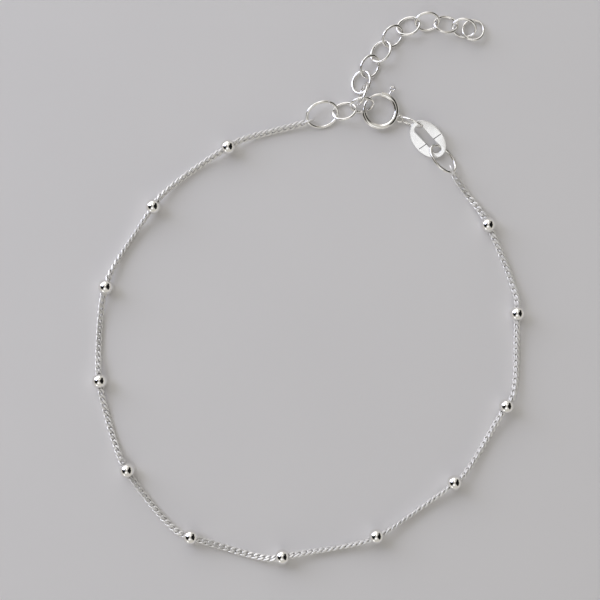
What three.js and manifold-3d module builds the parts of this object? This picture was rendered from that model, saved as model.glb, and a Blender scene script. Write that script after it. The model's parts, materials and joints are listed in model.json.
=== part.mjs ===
// A silver satellite bracelet lying closed on a table: a fine curb chain strung with round
// beads, a jump ring and an oval tag on one side, a jump ring and an extender chain on the
// other, and a spring ring clasp hooked into one link of the extender.
// Millimetres, +Z up, table top at z = 0, origin under the middle of the whole outline.

import * as THREE from "three";
import { mergeVertices } from "three/addons/utils/BufferGeometryUtils.js";
import Module from "manifold-3d";

const wasm = await Module();
wasm.setup();

// ---------------------------------------------------------------- driving dimensions

const BEAD = { diameter: 2.0, hole: 0.96, band: 0.3, sides: 16, rows: 3 };

const CHAIN = {
  width: 0.75, sides: 8, steps: 5,
  restHeight: 0.4, fall: 4.2, handle: 0.2, pastBead: 0.05,
};
const CHAIN_END_LINK = { length: 1.6, width: 1.1, wire: 0.22, sides: 5, segments: 12, overlap: 0.25 };

const LINK_WIRE_SIDES = 6;
const LINK_SEGMENTS = 16;
const JUMP_RING = { length: 4.55, width: 3.7, wire: 0.42 };
const TAG_JUMP_RING = { length: 4.7, width: 3.05, wire: 0.42 };
const EXTENDER_LINK = { length: 3.4, width: 2.8, wire: 0.38 };
const EXTENDER_END_RING = { length: 3.1, width: 3.1, wire: 0.38 };
const CONNECTOR = { length: 3.5, width: 2.1, wire: 0.3 };

const CLASP = {
  radius: 2.12, tube: 0.39, bore: 0.29, gapStart: 86, gapEnd: 188,
  segments: 48, sides: 12, boreSides: 8, cutMargin: 0.2,
};
const CLASP_EAR = { angle: -22, reach: 2.82, radius: 0.41, wire: 0.26 };
const CLASP_SLOT = { start: -4, end: 67, height: 0.42 };
const BOLT = { radius: 0.19, start: 42, end: 194, sides: 8, segments: 26 };
const LEVER = {
  angle: 60, stem: 0.12, sides: 8, reach: 3.28, knob: 0.29, knobWire: 0.21, knobSegments: 12,
};

const TAG = {
  length: 5.7, width: 3.9, thickness: 0.3, segments: 18,
  holeReach: 1.65, holeRadius: 0.6, holeArc: 105, slotWaist: 0.5,
  engraving: { along: 0.42, turn: -7.5, from: 0.4, to: 1.75, width: 0.1, depth: 0.08 },
};

// Where each bead sits, and the heading of the chain through it, in degrees from +X.
const BEADS = [
  { x: 24.6, y: 9.8, heading: -64 },
  { x: 28.4, y: -1.8, heading: -92 },
  { x: 27.0, y: -13.9, heading: -123 },
  { x: 20.2, y: -23.9, heading: -141 },
  { x: 10.0, y: -30.9, heading: -154 },
  { x: -2.3, y: -33.6, heading: -170 },
  { x: -14.3, y: -31.0, heading: -198 },
  { x: -22.6, y: -22.3, heading: -239 },
  { x: -26.2, y: -10.6, heading: -263 },
  { x: -25.4, y: 1.7, heading: -286 },
  { x: -19.2, y: 12.2, heading: -304 },
  { x: -9.4, y: 20.0, heading: -329 },
];
const CHAIN_START = { x: 20.1, y: 16.4, z: 1.15, heading: -66 };
const CHAIN_FINISH = { x: 0.6, y: 23.2, z: 0.65, heading: -342 };

// Each ring of wire: the middle of the ring, its heading, how far its left side is rolled up
// about that heading, and how far its leading end dips. All of them touch the table.
const EXTENDER = [
  { x: 5.8, y: 24.7, heading: 15, roll: -28, pitch: -5 },
  { x: 8.1, y: 25.5, heading: 10, roll: 49, pitch: -6 },
  { x: 8.2, y: 26.9, heading: 72, roll: -77, pitch: 9 },
  { x: 8.04, y: 28.5, heading: 73, roll: -25, pitch: 0 },
  { x: 9.15, y: 30.55, heading: 62, roll: 26, pitch: 0 },
  { x: 10.6, y: 32.5, heading: 54, roll: -26, pitch: 0 },
  { x: 12.13, y: 34.52, heading: 48, roll: 27, pitch: -0.5 },
  { x: 14.21, y: 35.85, heading: 25, roll: -22, pitch: -0.7 },
  { x: 16.64, y: 36.44, heading: 7, roll: 30, pitch: -1.7 },
  { x: 19.1, y: 36.05, heading: -10, roll: -26, pitch: 0 },
  { x: 21.5, y: 35.6, heading: -10, roll: 26, pitch: 0 },
  { x: 22.7, y: 35.35, heading: 0, roll: -13, pitch: 0 },
];
const END_RING_PLACE = { x: 2.92, y: 24.28, heading: 20, roll: 20, pitch: 0 };
const TAG_RING_PLACE = { x: 18.72, y: 18.48, heading: -50, roll: -31.4, pitch: -2.8 };
const CONNECTOR_PLACE = { x: 14.47, y: 23.22, heading: -23.4, roll: 77, pitch: -21 };
const CLASP_PLACE = { x: 10.5, y: 24.8, z: 0.63, tilt: 1 };
const TAG_PLACE = { x: 16.75, y: 21.1, z: 0.69, heading: -47.2, roll: 13.5, pitch: 5.5 };

// ---------------------------------------------------------------- materials

const silver = new THREE.MeshStandardMaterial({ color: 0xd9d9d6, roughness: 0.15, metalness: 1 });
const satinSilver = new THREE.MeshStandardMaterial({
  color: 0xe6e5e0, roughness: 0.45, metalness: 0.9,
});

// ---------------------------------------------------------------- solids

const radians = THREE.MathUtils.degToRad;

/** A closed geometry with its shared corners merged, as a solid that can be joined and cut. */
function toSolid(geometry) {
  const bare = geometry.clone();
  bare.deleteAttribute("normal");
  bare.deleteAttribute("uv");
  const merged = mergeVertices(bare, 1e-5);
  return new wasm.Manifold(new wasm.Mesh({
    numProp: 3,
    vertProperties: new Float32Array(merged.attributes.position.array),
    triVerts: new Uint32Array(merged.index.array),
  }));
}

function toGeometry(solid) {
  const mesh = solid.getMesh();
  const geometry = new THREE.BufferGeometry();
  geometry.setAttribute("position", new THREE.BufferAttribute(mesh.vertProperties, 3));
  geometry.setIndex(new THREE.BufferAttribute(mesh.triVerts, 1));
  geometry.computeVertexNormals();
  return geometry;
}

/** A closed ring of round wire, drawn out from a torus to an oval of the given outer size. */
function ovalRing({ length, width, wire, sides = LINK_WIRE_SIDES, segments = LINK_SEGMENTS }) {
  const geometry = new THREE.TorusGeometry(1, 0.5, sides, segments);
  const halfLength = (length - wire) / 2;
  const halfWidth = (width - wire) / 2;
  const corners = geometry.attributes.position;
  for (let i = 0; i < corners.count; i += 1) {
    const [x, y, z] = [corners.getX(i), corners.getY(i), corners.getZ(i)];
    const around = Math.atan2(y, x);
    const outward = (Math.hypot(x, y) - 1) * wire;
    const normal = new THREE.Vector2(
      halfWidth * Math.cos(around), halfLength * Math.sin(around),
    ).normalize();
    corners.setXYZ(
      i,
      halfLength * Math.cos(around) + outward * normal.x,
      halfWidth * Math.sin(around) + outward * normal.y,
      z * wire,
    );
  }
  return geometry;
}

/** A plain ring of wire around the Z axis. */
function roundRing(radius, wire, sides, segments) {
  return ovalRing({
    length: 2 * radius + wire, width: 2 * radius + wire, wire, sides, segments,
  });
}

/** A flat slab between two radii and two angles, centred on z = 0. */
function sector(inner, outer, start, end, height) {
  const shape = new THREE.Shape();
  shape.absarc(0, 0, outer, radians(start), radians(end), false);
  shape.absarc(0, 0, inner, radians(end), radians(start), true);
  const geometry = new THREE.ExtrudeGeometry(shape, {
    depth: height, bevelEnabled: false, curveSegments: CLASP.segments / 2,
  });
  return geometry.translate(0, 0, -height / 2);
}

// ---------------------------------------------------------------- placing

const bracelet = new THREE.Group();

function addPiece(name, geometry, material = silver, parent = bracelet) {
  const mesh = new THREE.Mesh(geometry, material);
  mesh.name = name;
  parent.add(mesh);
  return mesh;
}

/** Lays a ring of wire on the table, rolled and dipped as its place says. */
function addRing(name, size, place) {
  const mesh = addPiece(name, ovalRing(size));
  const roll = radians(place.roll);
  const pitch = radians(place.pitch);
  const riseOfEnds = ((size.length - size.wire) / 2) * Math.sin(pitch);
  const riseOfSides = ((size.width - size.wire) / 2) * Math.sin(roll) * Math.cos(pitch);
  const height = size.wire / 2 + Math.hypot(riseOfEnds, riseOfSides);
  mesh.position.set(place.x, place.y, height);
  mesh.rotation.set(roll, pitch, radians(place.heading), "ZYX");
  return mesh;
}

// ---------------------------------------------------------------- beads

/** A round bead drilled along X, with a narrow band round its middle and one facet down. */
function beadGeometry() {
  const flats = Math.cos(Math.PI / BEAD.sides);
  const radius = BEAD.diameter / 2;
  const mouth = Math.asin(BEAD.hole / BEAD.diameter);
  const shoulder = Math.acos(BEAD.band / BEAD.diameter);
  const profile = [];
  for (const side of [-1, 1]) {
    for (let row = 0; row <= BEAD.rows; row += 1) {
      const step = side < 0 ? row : BEAD.rows - row;
      const angle = mouth + ((shoulder - mouth) * step) / BEAD.rows;
      const crown = step === BEAD.rows ? radius : radius * Math.sin(angle);
      profile.push(new THREE.Vector2(crown / flats, side * radius * Math.cos(angle)));
    }
  }
  profile.push(profile[0].clone());
  const bead = new THREE.LatheGeometry(profile, BEAD.sides);
  return bead.rotateY(Math.PI / BEAD.sides).rotateZ(-Math.PI / 2);
}

BEADS.forEach((place, i) => {
  const bead = addPiece(`bead_${String(i + 1).padStart(2, "0")}`, beadGeometry());
  bead.position.set(place.x, place.y, BEAD.diameter / 2);
  bead.rotation.z = radians(place.heading);
});

// ---------------------------------------------------------------- curb chain

/** A path that steps from station to station exactly as they are given. */
class StationPath extends THREE.Curve {
  constructor(stations) {
    super();
    this.stations = stations;
  }

  getUtoTmapping(u) {
    return u;
  }

  getPoint(t, target = new THREE.Vector3()) {
    const last = this.stations.length - 2;
    const place = t * (this.stations.length - 1);
    const index = Math.max(0, Math.min(Math.floor(place), last));
    return target.lerpVectors(this.stations[index], this.stations[index + 1], place - index);
  }
}

function headingVector(heading, length) {
  return new THREE.Vector3(length, 0, 0).applyAxisAngle(
    new THREE.Vector3(0, 0, 1), radians(heading),
  );
}

/** How high the middle of the chain lies, at a distance from a support of a given height. */
function chainHeight(distance, supportHeight) {
  const fallen = THREE.MathUtils.smoothstep(distance, 0, CHAIN.fall);
  return THREE.MathUtils.lerp(supportHeight, CHAIN.restHeight, fallen);
}

/** The middle line of the chain: straight through each bead, sagging to the table between. */
function chainStations() {
  const reach = BEAD.diameter / 2 + CHAIN.pastBead;
  const supports = [
    { ...CHAIN_START, reach: 0 },
    ...BEADS.map((bead) => ({ ...bead, z: BEAD.diameter / 2, reach })),
    { ...CHAIN_FINISH, reach: 0 },
  ];
  const stations = [];
  for (let i = 0; i + 1 < supports.length; i += 1) {
    const [from, to] = [supports[i], supports[i + 1]];
    const start = new THREE.Vector3(from.x, from.y, 0).add(headingVector(from.heading, from.reach));
    const end = new THREE.Vector3(to.x, to.y, 0).sub(headingVector(to.heading, to.reach));
    const length = start.distanceTo(end);
    const route = new THREE.CubicBezierCurve3(
      start,
      start.clone().add(headingVector(from.heading, length * CHAIN.handle)),
      end.clone().sub(headingVector(to.heading, length * CHAIN.handle)),
      end,
    );
    for (let step = 0; step <= CHAIN.steps; step += 1) {
      const fraction = step / CHAIN.steps;
      const station = route.getPointAt(fraction);
      station.z = Math.max(
        chainHeight(length * fraction, from.z),
        chainHeight(length * (1 - fraction), to.z),
      );
      stations.push(station);
    }
  }
  return stations;
}

/** The end link of the chain, standing on edge just past the given end of the tube. */
function endLink(end, neighbour) {
  const along = end.clone().sub(neighbour).setZ(0).normalize();
  const link = ovalRing(CHAIN_END_LINK);
  link.rotateX(Math.PI / 2);
  link.rotateZ(Math.atan2(along.y, along.x));
  const reach = CHAIN_END_LINK.length / 2 - CHAIN_END_LINK.overlap;
  const middle = end.clone().addScaledVector(along, reach);
  return link.translate(middle.x, middle.y, middle.z);
}

const stations = chainStations();
const chainSection = new THREE.Shape();
chainSection.absarc(0, 0, CHAIN.width / 2, 0, 2 * Math.PI, false);
const chainTube = new THREE.ExtrudeGeometry(chainSection, {
  steps: stations.length - 1,
  curveSegments: CHAIN.sides / 2,
  bevelEnabled: false,
  extrudePath: new StationPath(stations),
});
const chain = toSolid(chainTube)
  .add(toSolid(endLink(stations[0], stations[1])))
  .add(toSolid(endLink(stations.at(-1), stations.at(-2))));
addPiece("chain", toGeometry(chain));

// ---------------------------------------------------------------- jump rings and extender

addRing("end_ring", JUMP_RING, END_RING_PLACE);
addRing("tag_jump_ring", TAG_JUMP_RING, TAG_RING_PLACE);
addRing("clasp_connector", CONNECTOR, CONNECTOR_PLACE);
EXTENDER.forEach((place, i) => {
  const size = i === EXTENDER.length - 1 ? EXTENDER_END_RING : EXTENDER_LINK;
  addRing(`extender_link_${String(i + 1).padStart(2, "0")}`, size, place);
});

// ---------------------------------------------------------------- tag

/** A flat oval plate with a slot that widens to a round hole at each end. */
function tagGeometry() {
  const outline = new THREE.Shape();
  outline.absellipse(0, 0, TAG.length / 2, TAG.width / 2, 0, 2 * Math.PI, false, 0);
  const slot = new THREE.Path();
  const arc = radians(TAG.holeArc);
  const mouthX = TAG.holeReach + TAG.holeRadius * Math.cos(arc);
  const mouthY = TAG.holeRadius * Math.sin(arc);
  slot.absarc(TAG.holeReach, 0, TAG.holeRadius, -arc, arc, false);
  slot.quadraticCurveTo(0, TAG.slotWaist, -mouthX, mouthY);
  slot.absarc(-TAG.holeReach, 0, TAG.holeRadius, Math.PI - arc, arc - Math.PI, false);
  slot.quadraticCurveTo(0, -TAG.slotWaist, mouthX, -mouthY);
  outline.holes.push(slot);
  let plate = toSolid(new THREE.ExtrudeGeometry(outline, {
    depth: TAG.thickness, bevelEnabled: false, curveSegments: TAG.segments,
  }));
  const { along, turn, from, to, width, depth } = TAG.engraving;
  for (const side of [-1, 1]) {
    const groove = new THREE.BoxGeometry(width, to - from, 2 * depth);
    groove.translate(0, (side * (from + to)) / 2, TAG.thickness);
    groove.rotateZ(radians(turn)).translate(along, 0, 0);
    plate = plate.subtract(toSolid(groove));
  }
  return toGeometry(plate);
}

const tag = addPiece("tag", tagGeometry(), satinSilver);
tag.position.set(TAG_PLACE.x, TAG_PLACE.y, TAG_PLACE.z);
tag.rotation.set(
  radians(TAG_PLACE.roll), radians(TAG_PLACE.pitch), radians(TAG_PLACE.heading), "ZYX",
);

// ---------------------------------------------------------------- spring ring clasp

/** The hollow ring, open at its mouth and slotted for the lever, with the ear soldered on. */
function claspRingGeometry() {
  const { radius, tube, bore, gapStart, gapEnd, segments, sides, boreSides } = CLASP;
  const outer = radius + tube + CLASP.cutMargin;
  const inner = radius - tube - CLASP.cutMargin;
  const ear = roundRing(CLASP_EAR.radius, CLASP_EAR.wire, LINK_WIRE_SIDES, LINK_SEGMENTS);
  ear.translate(CLASP_EAR.reach, 0, 0).rotateZ(radians(CLASP_EAR.angle));
  const body = toSolid(roundRing(radius, 2 * tube, sides, segments))
    .add(toSolid(ear))
    .subtract(toSolid(roundRing(radius, 2 * bore, boreSides, segments)))
    .subtract(toSolid(sector(inner, outer, gapStart, gapEnd, 3 * tube)))
    .subtract(toSolid(sector(radius, outer, CLASP_SLOT.start, CLASP_SLOT.end, CLASP_SLOT.height)));
  return toGeometry(body);
}

/** The curved bolt that closes the mouth, with its lever and the ring to pull it by. */
function triggerGeometry() {
  const section = new THREE.Shape();
  section.absarc(0, 0, BOLT.radius, 0, 2 * Math.PI, false);
  const sweep = new THREE.Curve();
  sweep.getPoint = (t, target = new THREE.Vector3()) => {
    const angle = radians(THREE.MathUtils.lerp(BOLT.start, BOLT.end, t));
    return target.set(CLASP.radius * Math.cos(angle), CLASP.radius * Math.sin(angle), 0);
  };
  const bolt = new THREE.ExtrudeGeometry(section, {
    steps: BOLT.segments, curveSegments: BOLT.sides / 2, bevelEnabled: false, extrudePath: sweep,
  });
  const stemEnd = LEVER.reach - LEVER.knob;
  const stem = new THREE.CylinderGeometry(
    LEVER.stem, LEVER.stem, stemEnd - CLASP.radius, LEVER.sides,
  );
  stem.rotateZ(-Math.PI / 2).translate((stemEnd + CLASP.radius) / 2, 0, 0);
  const knob = roundRing(LEVER.knob, LEVER.knobWire, LINK_WIRE_SIDES, LEVER.knobSegments);
  knob.translate(LEVER.reach, 0, 0);
  const turn = radians(LEVER.angle);
  return toGeometry(
    toSolid(bolt).add(toSolid(stem.rotateZ(turn))).add(toSolid(knob.rotateZ(turn))),
  );
}

const clasp = new THREE.Group();
clasp.position.set(CLASP_PLACE.x, CLASP_PLACE.y, CLASP_PLACE.z);
clasp.rotation.y = radians(CLASP_PLACE.tilt);
bracelet.add(clasp);
addPiece("clasp_ring", claspRingGeometry(), silver, clasp);
addPiece("trigger_bolt", triggerGeometry(), silver, clasp);

// ---------------------------------------------------------------- origin

bracelet.updateMatrixWorld(true);
const outline = new THREE.Box3().setFromObject(bracelet, true);
const middle = outline.getCenter(new THREE.Vector3());
bracelet.position.set(-middle.x, -middle.y, -outline.min.z);

export default bracelet;
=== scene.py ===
import json
import math

import bmesh
import bpy
import numpy as np
from mathutils import Matrix, Vector

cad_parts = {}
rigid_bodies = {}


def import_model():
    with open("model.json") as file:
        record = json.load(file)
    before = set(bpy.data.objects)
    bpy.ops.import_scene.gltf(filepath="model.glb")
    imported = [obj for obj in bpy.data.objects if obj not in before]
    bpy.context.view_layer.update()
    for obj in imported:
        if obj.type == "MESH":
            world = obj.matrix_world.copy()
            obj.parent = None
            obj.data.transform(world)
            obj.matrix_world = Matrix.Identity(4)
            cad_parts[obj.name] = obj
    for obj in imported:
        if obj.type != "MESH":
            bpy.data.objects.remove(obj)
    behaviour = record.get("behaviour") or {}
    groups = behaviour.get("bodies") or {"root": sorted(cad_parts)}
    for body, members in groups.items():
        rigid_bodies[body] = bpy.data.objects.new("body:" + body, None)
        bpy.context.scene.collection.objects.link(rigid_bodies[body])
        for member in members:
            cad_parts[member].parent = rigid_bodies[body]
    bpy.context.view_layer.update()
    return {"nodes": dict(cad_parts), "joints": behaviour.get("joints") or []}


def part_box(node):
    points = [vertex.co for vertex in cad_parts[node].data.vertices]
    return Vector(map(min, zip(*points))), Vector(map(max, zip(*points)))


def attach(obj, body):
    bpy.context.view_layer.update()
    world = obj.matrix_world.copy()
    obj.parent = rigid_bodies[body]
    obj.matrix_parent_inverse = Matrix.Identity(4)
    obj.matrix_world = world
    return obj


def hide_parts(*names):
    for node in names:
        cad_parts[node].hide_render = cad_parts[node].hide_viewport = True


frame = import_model()

# A silver ball chain bracelet lying closed on a pale table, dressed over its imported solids.
# Metres, in the solids' own frame: +Z up off the table, +Y towards the clasp.

TAU = 2 * math.pi
MM_PER_METRE = 1000
TINY = 1e-12
CAD_DECIMALS = 8
UP = np.array([0.0, 0.0, 1.0])
FLAT = np.array([1, 1, 0])
BRACELET, TRIGGER = "bracelet", "trigger"

# ---------------------------------------------------------------- sizes

# A curb link is an oval of wire, squared by powers below 1, whose ends lean by twist degrees
# and whose four sides are then cut flat. clear is the gap between the chain and the table.
CURB = {"length": 0.00151, "width": 0.00099, "wire": 0.00031, "twist": -66, "pitch": 0.00079,
        "square_ends": 0.75, "square_sides": 0.8, "cut_width": 0.00082, "cut_depth": 0.00046,
        "segments": 30, "sides": 12, "clear": 0.00003}
# A point that faces the inside of its link by f is recessed by gain * f - offset, from 0 to 1,
# which sets how much painted shade, with some tarnish, darkens it.
RECESS_SHADE = {"gain": 2.5, "offset": 1}
# Random roll of each link, in radians.
LINK_WOBBLE = {"seed": 5, "spread": 0.05}
# The ring at each end of the chain, whose middle lies past the end of the chain's route.
CHAIN_END = {"length": 0.0016, "width": 0.0011, "wire": 0.00022, "past_end": 0.00055}
# The two ends of the chain's route, with its heading there in degrees from +X.
CHAIN_START = {"at": (0.019003, 0.014885, 0.00115), "heading": -66}
CHAIN_FINISH = {"at": (-0.000497, 0.021685, 0.00065), "heading": -342}
# Heading of the chain through each bead, in degrees from +X.
BEAD_HEADINGS = [-64, -92, -123, -141, -154, -170, -198, -239, -263, -286, -304, -329]
# How far each stretch of chain, up to a bead or an end, lies rolled on its edge, in degrees.
STRETCH_ROLLS = [0, 40, 55, 60, 88, 80, 8, 50, 0, 12, 90, 45, 40]
STRETCH_POINTS = 60
# Each stretch is a Bezier curve whose handles are this share of its length.
STRETCH_HANDLE = 0.2
# Distance from a bead or an end at which the chain has come down to the table.
CHAIN_FALL = 0.0042

# The lip's curl ends at lip_end, in radians. On the inside of the wall, the angle of the
# mouth is inner_mouth times what it is outside.
BEAD = {"radius": 0.001, "hole": 0.00048, "wall": 0.00013, "lip": 0.00004, "past_mouth": 0.00005,
        "lip_end": 1.6 * math.pi, "inner_mouth": 1.18}
BEAD_POINTS = {"outside": 41, "lip": 7, "inside": 15, "around": 64}

CAD_WIRE_SIDES = 6
WIRE_SIDES = 20
THIN_WIRE_SIDES = 16
RING_SEGMENTS = 72
# Latitudes, in degrees, of the rows of points on a wire's round end.
END_TILTS = [82, 65, 45, 22]
EXTENDER_LINKS = 12
# A ring's soldered joint: a bulge and a nick as shares of the wire, and how far each reaches.
# Rows of points are close together up to close_to bulge reaches, and even from even_from.
JOINT = {"bulge": 0.03, "bulge_reach": 0.00014, "nick": 0.09, "nick_reach": 0.000016,
         "close_to": 1.6, "even_from": 1.8}
# Angle of a ring's joint from its long axis, in radians.
SEAMS = {"first_ring": 0.9, "ring_step": 2.4, "chain_end": 0.6, "ear": 2.5, "knob": 4.0}

# The tag's slot has two round ends, each arc degrees to either side, joined by waists.
TAG_SLOT = {"reach": 0.00165, "radius": 0.0006, "arc": 105, "waist": 0.0005}
TAG_ROUNDING = 0.00007
TAG_LINE = {"along": 0.00042, "turn": -7.5, "from": 0.0004, "to": 0.00175, "width": 0.0001,
            "depth": 0.00007}
TAG_POINTS = {"edge": 120, "slot_end": 36, "waist": 22, "line_end": 9}
TAG_SHARP = 35
ROUNDING_STEPS = 3
WELD_MM = 1e-4

# Angles are in degrees round the clasp, from its X towards its Y.
CLASP = {"radius": 0.00212, "tube": 0.00039, "bore": 0.00029, "gap_start": 86, "gap_end": 188,
         "slot_start": -4, "slot_end": 67, "sides": 32, "slot_cells": 3}
CLASP_STATIONS = {"before_slot": 85, "slot": 36, "after_slot": 11}
CLASP_SHARP = 40
WORN_EDGE = {"width": 0.00002, "segments": 2, "angle": 50}
# The ear's neck runs between two distances out from the middle of the tube, and its radius is
# a share of the ear's wire.
EAR = {"angle": -22, "reach": 0.00282, "radius": 0.00041, "wire": 0.00026,
       "neck": (0.00032, 0.00036), "neck_radius": 0.55}
BOLT = {"radius": 0.00019, "start": 42, "end": 194, "stations": 60, "sides": 24}
LEVER = {"angle": 60, "stem": 0.00012, "stations": 12, "reach": 0.00328, "knob": 0.00029,
         "knob_wire": 0.00021}

TABLE_HALF = 3
# The camera looks straight down on its aim, and its field is how wide it sees there.
CAMERA = {"aim": (-0.001097, -0.001515, 0.001), "field": 0.07843, "lens": 100, "sensor": 36,
          "clip_start": 0.001}

# ---------------------------------------------------------------- materials

WHITE_SILVER, GREY_SILVER = (0.955, 0.945, 0.925), (0.87, 0.855, 0.83)
SATIN_WHITE, SATIN_GREY = (0.97, 0.97, 0.97), (0.92, 0.92, 0.92)
# The engraved lines are near black in their grooves: painted shade.
GROOVE_SHADE_GREY, GROOVE_SHADE_BLACK = (0.14, 0.14, 0.135), (0.07, 0.07, 0.068)
CARD_PALE, CARD_SHADED = (0.829, 0.814, 0.808), (0.813, 0.798, 0.794)
# Noise values between which a colour or a roughness goes from one end to the other.
TINT_SPAN, GLOSS_SPAN, CARD_SPAN = (0.35, 0.7), (0.25, 0.75), (0.3, 0.7)
CARD_GLOSS = (0.75, 0.9)


def nodes_of(owner):
    owner.use_nodes = True
    tree = owner.node_tree
    tree.nodes.clear()
    return tree


def add_node(tree, kind, inputs=None, **settings):
    node = tree.nodes.new(kind)
    for key, value in settings.items():
        setattr(node, key, value)
    for key, value in (inputs or {}).items():
        if isinstance(value, bpy.types.NodeSocket):
            tree.links.new(value, node.inputs[key])
        else:
            node.inputs[key].default_value = value
    return node


def noise(tree, vector, scale, detail=3.0, roughness=0.55):
    made = add_node(tree, "ShaderNodeTexNoise", {
        "Vector": vector, "Scale": scale, "Detail": detail, "Roughness": roughness,
    })
    return made.outputs["Fac"]


def ranged(tree, value, low, high, to_low=0, to_high=1):
    made = add_node(tree, "ShaderNodeMapRange", {
        "Value": value, "From Min": low, "From Max": high, "To Min": to_low, "To Max": to_high,
    })
    return made.outputs["Result"]


def mixed(tree, factor, first, second):
    made = add_node(tree, "ShaderNodeMix", data_type="RGBA")
    tree.links.new(factor, made.inputs["Factor"])
    for key, colour in (("A", first), ("B", second)):
        if isinstance(colour, bpy.types.NodeSocket):
            tree.links.new(colour, made.inputs[key])
        else:
            made.inputs[key].default_value = (*colour, 1)
    return made.outputs["Result"]


def in_millimetres(tree, turn=0.0, stretch=(1, 1, 1)):
    """Object coordinates in millimetres, turned about Z and then stretched."""
    place = add_node(tree, "ShaderNodeTexCoord").outputs["Object"]
    turned = add_node(tree, "ShaderNodeMapping", {
        "Vector": place, "Rotation": (0, 0, turn), "Scale": (MM_PER_METRE,) * 3,
    }).outputs["Vector"]
    return add_node(tree, "ShaderNodeMapping", {
        "Vector": turned, "Scale": stretch,
    }).outputs["Vector"]


def metal(name, bright, dull, gloss, grain, turn=0.0, stretch=(1, 1, 1), relief=0.05,
          polish=1.0, tarnish_and_shade=None):
    """Silver whose tint drifts between bright and dull, with fine polishing marks.

    Where its mesh has a recess attribute, it is darkened towards the given dark colour by that
    much: painted shade in the recesses, with some tarnish.
    """
    material = bpy.data.materials.new(name)
    tree = nodes_of(material)
    coarse = noise(tree, in_millimetres(tree), scale=1.7, detail=5.0)
    marks = noise(tree, in_millimetres(tree, turn, stretch), grain, detail=6.0, roughness=0.7)
    bump = add_node(tree, "ShaderNodeBump", {
        "Strength": relief, "Distance": 0.00001, "Height": marks,
    })
    colour = mixed(tree, ranged(tree, coarse, *TINT_SPAN), bright, dull)
    if tarnish_and_shade:
        # Painted shade, with some tarnish: how recessed each point is, read from the mesh.
        depth = add_node(tree, "ShaderNodeAttribute", attribute_name="recess_shade").outputs["Fac"]
        colour = mixed(tree, depth, colour, tarnish_and_shade)
    shader = add_node(tree, "ShaderNodeBsdfPrincipled", {
        "Metallic": polish,
        "Base Color": colour,
        "Roughness": ranged(tree, marks, *GLOSS_SPAN, *gloss),
        "Normal": bump.outputs["Normal"],
    })
    add_node(tree, "ShaderNodeOutputMaterial", {"Surface": shader.outputs["BSDF"]})
    return material


def table_top(name):
    """Matt card with a faint mottle and a fine fibre."""
    material = bpy.data.materials.new(name)
    tree = nodes_of(material)
    place = in_millimetres(tree)
    mottle = noise(tree, place, scale=0.03, detail=2.0)
    fibre = noise(tree, place, scale=3.0, detail=6.0, roughness=0.6)
    bump = add_node(tree, "ShaderNodeBump", {
        "Strength": 0.15, "Distance": 0.00002, "Height": fibre,
    })
    shader = add_node(tree, "ShaderNodeBsdfPrincipled", {
        "Base Color": mixed(tree, ranged(tree, mottle, *CARD_SPAN), CARD_PALE, CARD_SHADED),
        "Roughness": ranged(tree, fibre, *CARD_SPAN, *CARD_GLOSS),
        "Specular IOR Level": 0.2,
        "Normal": bump.outputs["Normal"],
    })
    add_node(tree, "ShaderNodeOutputMaterial", {"Surface": shader.outputs["BSDF"]})
    return material


wire_silver = metal(
    "drawn_wire_silver", WHITE_SILVER, GREY_SILVER, gloss=(0.06, 0.16), grain=9,
)
# The chain's recesses are darkened: painted shade between and inside the links, with some tarnish.
chain_silver = metal(
    "curb_chain_silver", WHITE_SILVER, GREY_SILVER, gloss=(0.24, 0.4), grain=14,
    polish=0.45, tarnish_and_shade=(0.5, 0.49, 0.48),
)
bead_silver = metal(
    "polished_bead_silver", WHITE_SILVER, GREY_SILVER, gloss=(0.03, 0.09), grain=11, relief=0.03,
)
clasp_silver = metal(
    "clasp_silver", WHITE_SILVER, GREY_SILVER, gloss=(0.05, 0.13), grain=8,
)
tag_silver = metal(
    "satin_tag_silver", SATIN_WHITE, SATIN_GREY, gloss=(0.17, 0.27), grain=7,
    turn=math.radians(47), stretch=(0.15, 3, 1), relief=0.2, polish=0.85,
)
# Painted shade in the tag's engraved grooves, near black.
groove_shade_silver = metal(
    "engraved_line_painted_shade", GROOVE_SHADE_GREY, GROOVE_SHADE_BLACK, gloss=(0.4, 0.6), grain=20,
)

# ---------------------------------------------------------------- building meshes


def grid_faces(rows, columns, close_rows):
    """Quads over a grid of points whose columns close on themselves."""
    faces = []
    for i in range(rows if close_rows else rows - 1):
        for j in range(columns):
            k, m = (i + 1) % rows, (j + 1) % columns
            faces.append((i * columns + j, k * columns + j, k * columns + m, i * columns + m))
    return faces


def unit(vectors):
    return vectors / np.maximum(np.linalg.norm(vectors, axis=-1, keepdims=True), TINY)


def unit_circle(count, across, upward):
    """Points round a circle of radius 1 that goes from across towards upward."""
    turn = np.arange(count) * TAU / count
    return np.cos(turn)[:, None] * across + np.sin(turn)[:, None] * upward


def wire(centres, upright, radii, sides, closed=True):
    """Points and faces of round wire along centres; upright leans its section, row by row."""
    centres = np.asarray(centres, float)
    if closed:
        along = unit(np.roll(centres, -1, axis=0) - np.roll(centres, 1, axis=0))
    else:
        along = unit(np.gradient(centres, axis=0))
    across = unit(np.cross(np.broadcast_to(upright, centres.shape), along))
    upward = np.cross(along, across)
    radii = np.broadcast_to(radii, len(centres))[:, None, None]
    section = unit_circle(sides, across[:, None], upward[:, None])
    points = (centres[:, None] + radii * section).reshape(-1, 3)
    faces = grid_faces(len(centres), sides, closed)
    if not closed:
        last = (len(centres) - 1) * sides
        faces.append(tuple(range(sides)))
        faces.append(tuple(last + j for j in reversed(range(sides))))
    return points, faces


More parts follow.
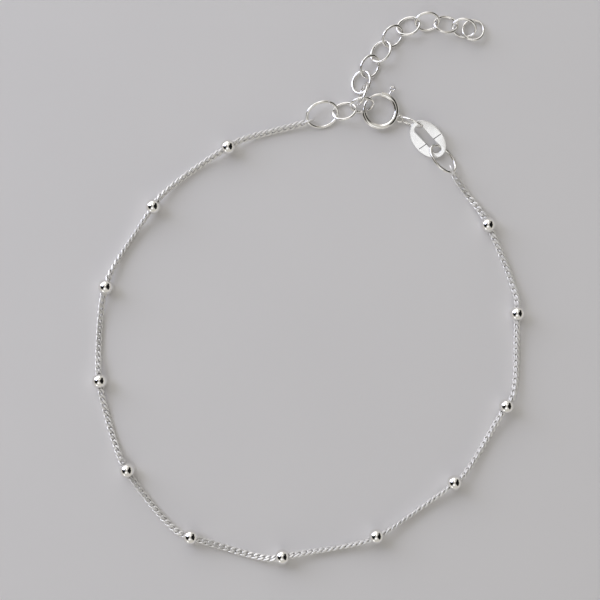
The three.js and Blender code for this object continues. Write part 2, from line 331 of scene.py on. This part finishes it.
def round_ended(centres, radius, upright, sides):
    """Wire with hemispherical ends, which reach a radius past the first and last centre."""
    centres = np.asarray(centres, float)
    tilt = np.radians(END_TILTS)
    head = unit(centres[0] - centres[1])
    tail = unit(centres[-1] - centres[-2])
    first = [centres[0] + head * radius * math.sin(a) for a in tilt]
    last = [centres[-1] + tail * radius * math.sin(a) for a in reversed(tilt)]
    radii = [radius * math.cos(a) for a in tilt]
    return wire(
        np.vstack([first, centres, last]), upright,
        np.array(radii + [radius] * len(centres) + radii[::-1]), sides, closed=False,
    )


def merged(shapes):
    """Several shapes as one."""
    points, faces, offset = [], [], 0
    for some_points, some_faces in shapes:
        points.append(some_points)
        faces += [tuple(offset + k for k in face) for face in some_faces]
        offset += len(some_points)
    return np.vstack(points), faces


def add_piece(name, shape, material, stands_for=(), body=BRACELET, recess_shade=None):
    points, faces = shape
    mesh = bpy.data.meshes.new(name)
    mesh.from_pydata(points.tolist(), [], faces)
    mesh.shade_smooth()
    if recess_shade is not None:
        # How recessed each point is, for the material's painted shade and tarnish.
        mesh.attributes.new("recess_shade", "FLOAT", "POINT").data.foreach_set("value", recess_shade)
    mesh.materials.append(material)
    return add_mesh(name, mesh, stands_for, body)


def add_mesh(name, mesh, stands_for=(), body=BRACELET):
    piece = bpy.data.objects.new(name, mesh)
    bpy.context.scene.collection.objects.link(piece)
    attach(piece, body)
    if stands_for:
        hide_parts(*stands_for)
    return piece


def measured(node):
    """Centre, axes from longest to shortest, and extents along them, of a solid."""
    mesh = frame["nodes"][node].data
    points = np.empty(len(mesh.vertices) * 3)
    mesh.vertices.foreach_get("co", points)
    points = np.unique(points.reshape(-1, 3).round(CAD_DECIMALS), axis=0)
    axes = np.linalg.eigh(np.cov(points.T))[1].T[::-1]
    # The longest axis leans towards +X and the shortest towards +Z.
    for k in (0, 2):
        if axes[k][k] < 0:
            axes[k] *= -1
    axes[1] = np.cross(axes[2], axes[0])
    along = points @ axes.T
    centre = axes.T @ ((along.min(0) + along.max(0)) / 2)
    return centre, axes, np.ptp(along, axis=0)


# ---------------------------------------------------------------- rings of wire


def ring_shape(centre, axes, length, width, thickness, seam):
    """An oval ring of wire with its soldered joint at an angle from its long axis."""
    long_half, wide_half = (length - thickness) / 2, (width - thickness) / 2
    nick = JOINT["nick_reach"] / long_half
    bulge = JOINT["bulge_reach"] / long_half
    close = [0, nick / 2, nick, 2 * nick, bulge / 2, bulge, JOINT["close_to"] * bulge]
    offsets = np.array(sorted({*close, *(-a for a in close[1:])}))
    even_from = JOINT["even_from"] * bulge
    rest = np.linspace(even_from, TAU - even_from, RING_SEGMENTS)
    angle = seam + np.concatenate([offsets, rest])
    away = np.abs((angle - seam + math.pi) % TAU - math.pi)
    swell = 1 + JOINT["bulge"] * np.exp(-((away / bulge) ** 2))
    swell -= JOINT["nick"] * np.exp(-((away / nick) ** 2))
    centres = (centre + np.outer(long_half * np.cos(angle), axes[0])
               + np.outer(wide_half * np.sin(angle), axes[1]))
    return wire(centres, axes[2], thickness / 2 * swell, WIRE_SIDES)


def round_ring_shape(centre, axes, radius, thickness, seam):
    across = 2 * radius + thickness
    return ring_shape(centre, axes, across, across, thickness, seam)


def add_rings():
    nodes = ["end_ring", "tag_jump_ring", "clasp_connector"]
    nodes += [f"extender_link_{i:02d}" for i in range(1, EXTENDER_LINKS + 1)]
    for index, node in enumerate(nodes):
        centre, axes, (length, width, height) = measured(node)
        # The solid's wire lies on a flat of its six sides, so it is thicker than it is high.
        thickness = height / math.cos(math.pi / CAD_WIRE_SIDES)
        seam = SEAMS["first_ring"] + SEAMS["ring_step"] * index
        shape = ring_shape(centre, axes, length, width, thickness, seam)
        add_piece(f"fine_{node}", shape, wire_silver, [node])


add_rings()

# ---------------------------------------------------------------- beads


def heading_vector(degrees):
    return np.array([math.cos(math.radians(degrees)), math.sin(math.radians(degrees)), 0])


def bead_shape(centre, heading):
    """A thin-walled bead with rounded lips at its two holes, turned about its heading."""
    radius, hole, lip = BEAD["radius"], BEAD["hole"], BEAD["lip"]
    inner = radius - BEAD["wall"]
    mouth = math.asin((hole + lip) / (radius - lip))
    inner_mouth = mouth * BEAD["inner_mouth"]
    lip_x = (radius - lip) * math.cos(mouth)
    outside = [(radius * math.cos(a), radius * math.sin(a))
               for a in np.linspace(mouth, math.pi - mouth, BEAD_POINTS["outside"])]
    rim = [(-lip_x + lip * math.cos(a), hole + lip + lip * math.sin(a))
           for a in np.linspace(math.pi - mouth, BEAD["lip_end"], BEAD_POINTS["lip"])[1:]]
    inside = [(inner * math.cos(a), inner * math.sin(a))
              for a in np.linspace(math.pi - inner_mouth, inner_mouth, BEAD_POINTS["inside"])]
    profile = np.array(outside + rim + inside + [(-x, r) for x, r in reversed(rim)])
    along = heading_vector(heading)
    circle = unit_circle(BEAD_POINTS["around"], np.cross(UP, along), UP)
    points = centre + profile[:, None, :1] * along + profile[:, None, 1:] * circle
    return points.reshape(-1, 3), grid_faces(len(profile), BEAD_POINTS["around"], True)


def centre_of(node):
    low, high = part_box(node)
    return (np.array(low) + np.array(high)) / 2


BEAD_NODES = [f"bead_{i:02d}" for i in range(1, len(BEAD_HEADINGS) + 1)]
BEAD_CENTRES = [centre_of(node) for node in BEAD_NODES]
for node, centre, heading in zip(BEAD_NODES, BEAD_CENTRES, BEAD_HEADINGS):
    add_piece(f"fine_{node}", bead_shape(centre, heading), bead_silver, [node])

# ---------------------------------------------------------------- curb chain


def link_line():
    """Middle line of one curb link and the way its wire leans, link along X and flat in Z."""
    half_length = (CURB["length"] - CURB["wire"]) / 2
    half_width = (CURB["width"] - CURB["wire"]) / 2
    t = (np.arange(CURB["segments"]) + 0.5) * TAU / CURB["segments"]
    along = np.sign(np.cos(t)) * np.abs(np.cos(t)) ** CURB["square_ends"]
    across = np.sign(np.sin(t)) * np.abs(np.sin(t)) ** CURB["square_sides"]
    lean = math.radians(CURB["twist"]) * along
    line = np.stack([half_length * along, half_width * across * np.cos(lean),
                     half_width * across * np.sin(lean)], 1)
    upright = np.stack([0 * t, -np.sin(lean), np.cos(lean)], 1)
    return line, upright


def curb_link():
    """One link, its four sides cut flat, and how recessed each of its points is, which sets its
    painted shade and tarnish.
    """
    line, upright = link_line()
    points, faces = wire(line, upright, CURB["wire"] / 2, CURB["sides"])
    middles = np.repeat(line, CURB["sides"], axis=0)
    facing = -(unit(points - middles) * unit(middles)).sum(1)
    recess_shade = np.clip(RECESS_SHADE["gain"] * facing - RECESS_SHADE["offset"], 0, 1)
    half = np.array([CURB["length"], CURB["cut_width"], CURB["cut_depth"]]) / 2
    return np.clip(points, -half, half), faces, recess_shade


def resting_height(roll):
    """How high the middle of the chain lies on the table, rolled by an angle."""
    points = curb_link()[0]
    reach = np.abs(points[:, 1] * np.sin(roll) + points[:, 2] * np.cos(roll)).max()
    return reach + CURB["clear"]


def stretch_line(start, first, end, last):
    """Points of a curve that leaves start in the direction first and reaches end in last."""
    handle = STRETCH_HANDLE * np.linalg.norm(end - start)
    t = np.linspace(0, 1, STRETCH_POINTS)[:, None]
    return ((1 - t) ** 3 * start + 3 * t * (1 - t) ** 2 * (start + first * handle)
            + 3 * t ** 2 * (1 - t) * (end - last * handle) + t ** 3 * end)


def chain_route():
    """Points along the chain, with the distance along it and its roll at each."""
    past = BEAD["radius"] + BEAD["past_mouth"]
    supports = [(np.array(CHAIN_START["at"]), CHAIN_START["heading"], 0)]
    supports += [(centre, heading, past) for centre, heading in zip(BEAD_CENTRES, BEAD_HEADINGS)]
    supports += [(np.array(CHAIN_FINISH["at"]), CHAIN_FINISH["heading"], 0)]
    points, heights = [], []
    for (p, p_heading, out), (q, q_heading, back) in zip(supports, supports[1:]):
        first, last = heading_vector(p_heading), heading_vector(q_heading)
        start = p * FLAT + first * out
        end = q * FLAT - last * back
        length = np.linalg.norm(end - start)
        travelled = np.linspace(0, length, STRETCH_POINTS)
        points.append(stretch_line(start, first, end, last))
        heights.append(np.stack([travelled, length - travelled,
                                 np.full(STRETCH_POINTS, p[2]), np.full(STRETCH_POINTS, q[2])], 1))
    points, heights = np.vstack(points), np.vstack(heights)
    steps = np.linalg.norm(np.diff(points, axis=0), axis=1)
    distance = np.concatenate([[0], np.cumsum(steps)])
    middles = np.arange(len(STRETCH_ROLLS)) * STRETCH_POINTS + STRETCH_POINTS // 2
    roll = np.radians(np.interp(distance, distance[middles], STRETCH_ROLLS))
    rest = np.array([resting_height(r) for r in roll])
    fallen = np.clip(heights[:, :2] / CHAIN_FALL, 0, 1)
    fallen = fallen * fallen * (3 - 2 * fallen)
    carried = heights[:, 2:] * (1 - fallen) + rest[:, None] * fallen
    points[:, 2] = carried.max(1)
    return points, distance, roll


def chain_shape():
    """The chain's links and its two end rings, and how recessed each point is, which sets its
    painted shade and tarnish.
    """
    points, distance, roll = chain_route()

    def at(s):
        return np.stack([np.interp(s, distance, points[:, k]) for k in range(3)], -1)

    end_half = (CHAIN_END["length"] - CHAIN_END["wire"]) / 2
    link_half = (CURB["length"] - CURB["wire"]) / 2
    first = end_half - CHAIN_END["past_end"] - CURB["wire"] + link_half
    span = distance[-1] - 2 * first
    count = math.ceil(span / CURB["pitch"]) + 1
    link, faces, link_recess_shade = curb_link()
    wobble = np.random.default_rng(LINK_WOBBLE["seed"])
    shapes = []
    for s in np.linspace(first, first + span, count):
        along = unit(at(s + link_half) - at(s - link_half))
        side = unit(np.cross(UP, along))
        above = np.cross(along, side)
        r = np.interp(s, distance, roll) + wobble.normal(0, LINK_WOBBLE["spread"])
        turned = np.stack([along, side * math.cos(r) + above * math.sin(r),
                           above * math.cos(r) - side * math.sin(r)])
        shapes.append((at(s) + link @ turned, faces))
    for here, there in ((0, 1), (-1, -2)):
        away = unit((points[here] - points[there]) * FLAT)
        axes = np.stack([away, UP, np.cross(away, UP)])
        middle = points[here] + away * CHAIN_END["past_end"]
        shapes.append(ring_shape(middle, axes, CHAIN_END["length"], CHAIN_END["width"],
                                 CHAIN_END["wire"], SEAMS["chain_end"]))
    shape = merged(shapes)
    recess_shade = np.zeros(len(shape[0]))
    recess_shade[:count * len(link)] = np.tile(link_recess_shade, count)
    return shape, recess_shade


# The chain's recesses carry painted shade, with some tarnish.
chain, chain_recess_shade = chain_shape()
add_piece("fine_curb_chain", chain, chain_silver, ["chain"], recess_shade=chain_recess_shade)

# ---------------------------------------------------------------- tag


def arc_points(x, radius, start, end, count):
    """Points of an arc whose middle is at x on the X axis, between two angles in degrees."""
    turn = np.radians(np.linspace(start, end, count))
    return [(x + radius * math.cos(a), radius * math.sin(a)) for a in turn]


def slot_outline():
    reach, radius, arc = TAG_SLOT["reach"], TAG_SLOT["radius"], TAG_SLOT["arc"]
    right = arc_points(reach, radius, -arc, arc, TAG_POINTS["slot_end"])
    left = arc_points(-reach, radius, 180 - arc, 180 + arc, TAG_POINTS["slot_end"])

    def waist(start, end, side):
        t = np.linspace(0, 1, TAG_POINTS["waist"])[1:-1]
        return [((1 - u) ** 2 * start[0] + u * u * end[0],
                 (1 - u) ** 2 * start[1] + 2 * u * (1 - u) * side * TAG_SLOT["waist"]
                 + u * u * end[1]) for u in t]

    return right + waist(right[-1], left[0], 1) + left + waist(left[-1], right[0], -1)


def plate_mesh(loops, thickness, rounding):
    """A flat plate with rounded edges, in millimetres, from loops of points in metres."""
    curve = bpy.data.curves.new("plate", "CURVE")
    curve.dimensions = "2D"
    curve.fill_mode = "BOTH"
    curve.extrude = (thickness / 2 - rounding) * MM_PER_METRE
    curve.bevel_depth = rounding * MM_PER_METRE
    curve.bevel_resolution = ROUNDING_STEPS
    curve.offset = -rounding * MM_PER_METRE
    for loop in loops:
        spline = curve.splines.new("POLY")
        spline.points.add(len(loop) - 1)
        for point, (x, y) in zip(spline.points, loop):
            point.co = (x * MM_PER_METRE, y * MM_PER_METRE, 0, 1)
        spline.use_cyclic_u = True
    carrier = bpy.data.objects.new("plate", curve)
    mesh = bpy.data.meshes.new_from_object(carrier)
    bpy.data.objects.remove(carrier)
    bpy.data.curves.remove(curve)
    edit = bmesh.new()
    edit.from_mesh(mesh)
    bmesh.ops.remove_doubles(edit, verts=edit.verts, dist=WELD_MM)
    bmesh.ops.recalc_face_normals(edit, faces=edit.faces)
    edit.to_mesh(mesh)
    edit.free()
    return mesh


def carved(mesh, cutter):
    """mesh less cutter, keeping the cutter's material in the cut."""
    scene = bpy.context.scene.collection.objects
    body, tool = bpy.data.objects.new("body", mesh), bpy.data.objects.new("tool", cutter)
    for made in (body, tool):
        scene.link(made)
    cut = body.modifiers.new("cut", "BOOLEAN")
    cut.object, cut.operation, cut.solver = tool, "DIFFERENCE", "EXACT"
    cut.material_mode = "TRANSFER"
    result = bpy.data.meshes.new_from_object(
        body.evaluated_get(bpy.context.evaluated_depsgraph_get())
    )
    for made in (body, tool):
        bpy.data.objects.remove(made)
    return result


def line_cutter(side, tag_top):
    """What carves one of the tag's two lines, in millimetres: side is 1 or -1 along Y."""
    half, depth = TAG_LINE["width"] / 2, TAG_LINE["depth"]
    near, far = TAG_LINE["from"] + half, TAG_LINE["to"] - half
    loop = arc_points(0, half, 0, 180, TAG_POINTS["line_end"])
    outline = [(x, y + far) for x, y in loop] + [(-x, -y + near) for x, y in loop]
    # Four depths thick and centred a depth above the tag, it reaches a depth into it.
    cutter = plate_mesh([[(x, y * side) for x, y in outline[::side]]], 4 * depth, depth / 4)
    # The grooves take this painted shade when the cut is made.
    cutter.materials.append(groove_shade_silver)
    cutter.transform(
        Matrix.Translation((TAG_LINE["along"] * MM_PER_METRE, 0, (tag_top + depth) * MM_PER_METRE))
        @ Matrix.Rotation(math.radians(TAG_LINE["turn"]), 4, "Z")
    )
    return cutter


def add_tag():
    centre, axes, (length, width, thickness) = measured("tag")
    edge = [(length / 2 * math.cos(a), width / 2 * math.sin(a))
            for a in np.linspace(0, TAU, TAG_POINTS["edge"] + 1)[:-1]]
    mesh = plate_mesh([edge, slot_outline()], thickness, TAG_ROUNDING)
    mesh.materials.append(tag_silver)
    for side in (-1, 1):
        mesh = carved(mesh, line_cutter(side, thickness / 2))
    turn = Matrix(axes.T.tolist()).to_4x4()
    mesh.transform(Matrix.Translation(Vector(centre)) @ turn @ Matrix.Scale(1 / MM_PER_METRE, 4))
    mesh.shade_smooth()
    mesh.set_sharp_from_angle(angle=math.radians(TAG_SHARP))
    add_mesh("fine_tag", mesh, ["tag"])


add_tag()

# ---------------------------------------------------------------- spring ring clasp

hinge = next(j for j in frame["joints"] if j["name"] == "clasp_lever")
CLASP_CENTRE = np.array(hinge["pos_m"])
CLASP_UP = unit(np.array(hinge["axis"]))
CLASP_Y = np.array([0.0, 1.0, 0.0])
CLASP_X = np.cross(CLASP_Y, CLASP_UP)
CLASP_AXES = np.stack([CLASP_X, CLASP_Y, CLASP_UP])


def on_clasp(radius, degrees):
    """Points at a radius from the clasp's centre, at angles round it."""
    turn = np.radians(np.atleast_1d(degrees))
    flat = np.outer(np.cos(turn), CLASP_X) + np.outer(np.sin(turn), CLASP_Y)
    return CLASP_CENTRE + radius * flat


def outward(degrees):
    return unit(on_clasp(1, degrees) - CLASP_CENTRE)


def hollow_ring_shape():
    """The clasp's tube, open at its mouth and slotted along its outer side for the lever."""
    slot = (360 + CLASP["slot_start"], 360 + CLASP["slot_end"])
    finish = 360 + CLASP["gap_start"]
    stations = np.concatenate([
        np.linspace(CLASP["gap_end"], slot[0], CLASP_STATIONS["before_slot"])[:-1],
        np.linspace(*slot, CLASP_STATIONS["slot"])[:-1],
        np.linspace(slot[1], finish, CLASP_STATIONS["after_slot"]),
    ])
    sides, cells = CLASP["sides"], CLASP["slot_cells"]
    middle = on_clasp(CLASP["radius"], stations)
    section = unit_circle(sides, unit(middle - CLASP_CENTRE)[:, None], CLASP_UP)
    skins = [(middle[:, None] + CLASP[part] * section).reshape(-1, 3) for part in ("tube", "bore")]
    rows, inner = len(stations), len(skins[0])

    def solid(i, j):
        if not 0 <= i < rows - 1:
            return False
        slotted = slot[0] < (stations[i] + stations[i + 1]) / 2 < slot[1]
        return not (slotted and (j % sides < cells or j % sides >= sides - cells))

    faces = []
    for i in range(rows - 1):
        for j in range(sides):
            if not solid(i, j):
                continue
            m = (j + 1) % sides
            a, b, c, d = (i * sides + j, (i + 1) * sides + j, (i + 1) * sides + m, i * sides + m)
            faces.append((a, b, c, d))
            faces.append(tuple(inner + k for k in (d, c, b, a)))
            # Wherever the tube stops, a face joins its outer skin to its inner one.
            for (p, q), beside in (((a, b), (i, j - 1)), ((b, c), (i + 1, j)),
                                   ((c, d), (i, j + 1)), ((d, a), (i - 1, j))):
                if not solid(*beside):
                    faces.append((q, p, inner + p, inner + q))
    return np.vstack(skins), faces


def add_clasp_ring():
    ring = add_piece("fine_clasp_ring", hollow_ring_shape(), clasp_silver, ["clasp_ring"])
    ring.data.set_sharp_from_angle(angle=math.radians(CLASP_SHARP))
    edges = ring.modifiers.new("worn_edges", "BEVEL")
    edges.width, edges.segments = WORN_EDGE["width"], WORN_EDGE["segments"]
    edges.limit_method, edges.angle_limit = "ANGLE", math.radians(WORN_EDGE["angle"])


def add_ear():
    """The small fixed ring on the clasp, on a neck that joins it to the tube."""
    ear = round_ring_shape(on_clasp(EAR["reach"], EAR["angle"])[0], CLASP_AXES,
                           EAR["radius"], EAR["wire"], SEAMS["ear"])
    line = (on_clasp(CLASP["radius"], EAR["angle"])
            + outward(EAR["angle"]) * np.array(EAR["neck"])[:, None])
    neck = round_ended(line, EAR["wire"] * EAR["neck_radius"], CLASP_UP, THIN_WIRE_SIDES)
    add_piece("clasp_ear", merged([ear, neck]), clasp_silver)


def add_trigger():
    """The bolt inside the tube, with the stem and the knob of its lever."""
    arc = np.linspace(BOLT["start"], BOLT["end"], BOLT["stations"])
    bolt = round_ended(on_clasp(CLASP["radius"], arc), BOLT["radius"], CLASP_UP, BOLT["sides"])
    out = outward(LEVER["angle"])
    reach = np.linspace(CLASP["radius"], LEVER["reach"] - LEVER["knob"], LEVER["stations"])
    stem = round_ended(CLASP_CENTRE + out * reach[:, None], LEVER["stem"], CLASP_UP,
                       THIN_WIRE_SIDES)
    knob = round_ring_shape(CLASP_CENTRE + out[0] * LEVER["reach"], CLASP_AXES,
                            LEVER["knob"], LEVER["knob_wire"], SEAMS["knob"])
    add_piece("fine_trigger_bolt", merged([bolt, stem, knob]), clasp_silver,
              ["trigger_bolt"], body=TRIGGER)


add_clasp_ring()
add_ear()
add_trigger()

# ---------------------------------------------------------------- table, light and camera


def add_table():
    mesh = bpy.data.meshes.new("table")
    h = TABLE_HALF
    mesh.from_pydata([(-h, -h, 0), (h, -h, 0), (h, h, 0), (-h, h, 0)], [], [(0, 1, 2, 3)])
    mesh.materials.append(table_top("pale_card"))
    table = bpy.data.objects.new("table", mesh)
    bpy.context.scene.collection.objects.link(table)


def direction(azimuth, elevation):
    a, e = math.radians(azimuth), math.radians(elevation)
    return Vector((math.cos(a) * math.cos(e), math.sin(a) * math.cos(e), math.sin(e)))


# Azimuths and elevations are in degrees, from +X towards +Y and up from the horizon.
WINDOW = {"azimuth": 150, "elevation": 26, "distance": 0.55, "width": 0.25, "height": 0.46,
          "watts": 1.22, "colour": (0.83, 0.87, 1.08)}
# How light the room is at each height above the horizon, as the sine of its elevation.
ROOM = [(0.0, 0.66), (0.5, 0.58), (0.96, 0.6), (0.985, 0.5), (1.0, 0.5)]
ROOM_TINT = (1.0, 0.968, 0.9)
# Dark and bright patches of the room that the silver reflects. Each is whole up to inner
# degrees from its middle, and gone at outer degrees.
PATCHES = [
    {"azimuth": 112, "elevation": 24, "inner": 16, "outer": 30, "light": 1.7},
    {"azimuth": 184, "elevation": 43, "inner": 27, "outer": 32, "light": 0.006},
    {"azimuth": 4, "elevation": 50, "inner": 27, "outer": 32, "light": 0.008},
    {"azimuth": 42, "elevation": 28, "inner": 13, "outer": 20, "light": 0.01},
    {"azimuth": -30, "elevation": 37, "inner": 13, "outer": 18, "light": 0.006},
    {"azimuth": 238, "elevation": 12, "inner": 6, "outer": 13, "light": 1.5},
    {"azimuth": 95, "elevation": 62, "inner": 5, "outer": 9, "light": 1.8},
    {"azimuth": 245, "elevation": 61, "inner": 12, "outer": 19, "light": 1.1},
]


def add_room():
    world = bpy.data.worlds.new("studio")
    bpy.context.scene.world = world
    tree = nodes_of(world)
    looking = add_node(tree, "ShaderNodeTexCoord").outputs["Generated"]
    up = add_node(tree, "ShaderNodeSeparateXYZ", {"Vector": looking}).outputs["Z"]
    ramp = add_node(tree, "ShaderNodeValToRGB", {"Fac": up})
    stops = ramp.color_ramp.elements
    # A new ramp has two stops, so the others are added.
    while len(stops) < len(ROOM):
        stops.new(0.5)
    for stop, (place, light) in zip(stops, ROOM):
        stop.position, stop.color = place, (*[light * tint for tint in ROOM_TINT], 1)
    colour = ramp.outputs["Color"]
    for patch in PATCHES:
        towards = add_node(tree, "ShaderNodeVectorMath", {0: looking}, operation="DOT_PRODUCT")
        towards.inputs[1].default_value = direction(patch["azimuth"], patch["elevation"])
        outer, inner = (math.cos(math.radians(patch[key])) for key in ("outer", "inner"))
        edge = ranged(tree, towards.outputs["Value"], outer, inner)
        colour = mixed(tree, edge, colour, [patch["light"]] * 3)
    background = add_node(tree, "ShaderNodeBackground", {"Color": colour, "Strength": 1.0})
    add_node(tree, "ShaderNodeOutputWorld", {"Surface": background.outputs["Background"]})


def add_window():
    light = bpy.data.lights.new("window", "AREA")
    light.shape, light.energy = "RECTANGLE", WINDOW["watts"]
    light.size, light.size_y = WINDOW["width"], WINDOW["height"]
    light.color = WINDOW["colour"]
    lamp = bpy.data.objects.new("window", light)
    away = direction(WINDOW["azimuth"], WINDOW["elevation"])
    lamp.location = away * WINDOW["distance"]
    lamp.rotation_euler = away.to_track_quat("Z", "Y").to_euler()
    bpy.context.scene.collection.objects.link(lamp)


def add_camera():
    data = bpy.data.cameras.new("camera")
    data.lens, data.sensor_width = CAMERA["lens"], CAMERA["sensor"]
    data.clip_start = CAMERA["clip_start"]
    camera = bpy.data.objects.new("camera", data)
    height = CAMERA["field"] * CAMERA["lens"] / CAMERA["sensor"]
    camera.location = Vector(CAMERA["aim"]) + Vector((0, 0, height))
    bpy.context.scene.collection.objects.link(camera)
    bpy.context.scene.camera = camera


add_table()
add_room()
add_window()
add_camera()
bpy.context.scene.view_settings.view_transform = "Standard"

bpy.context.view_layer.update()
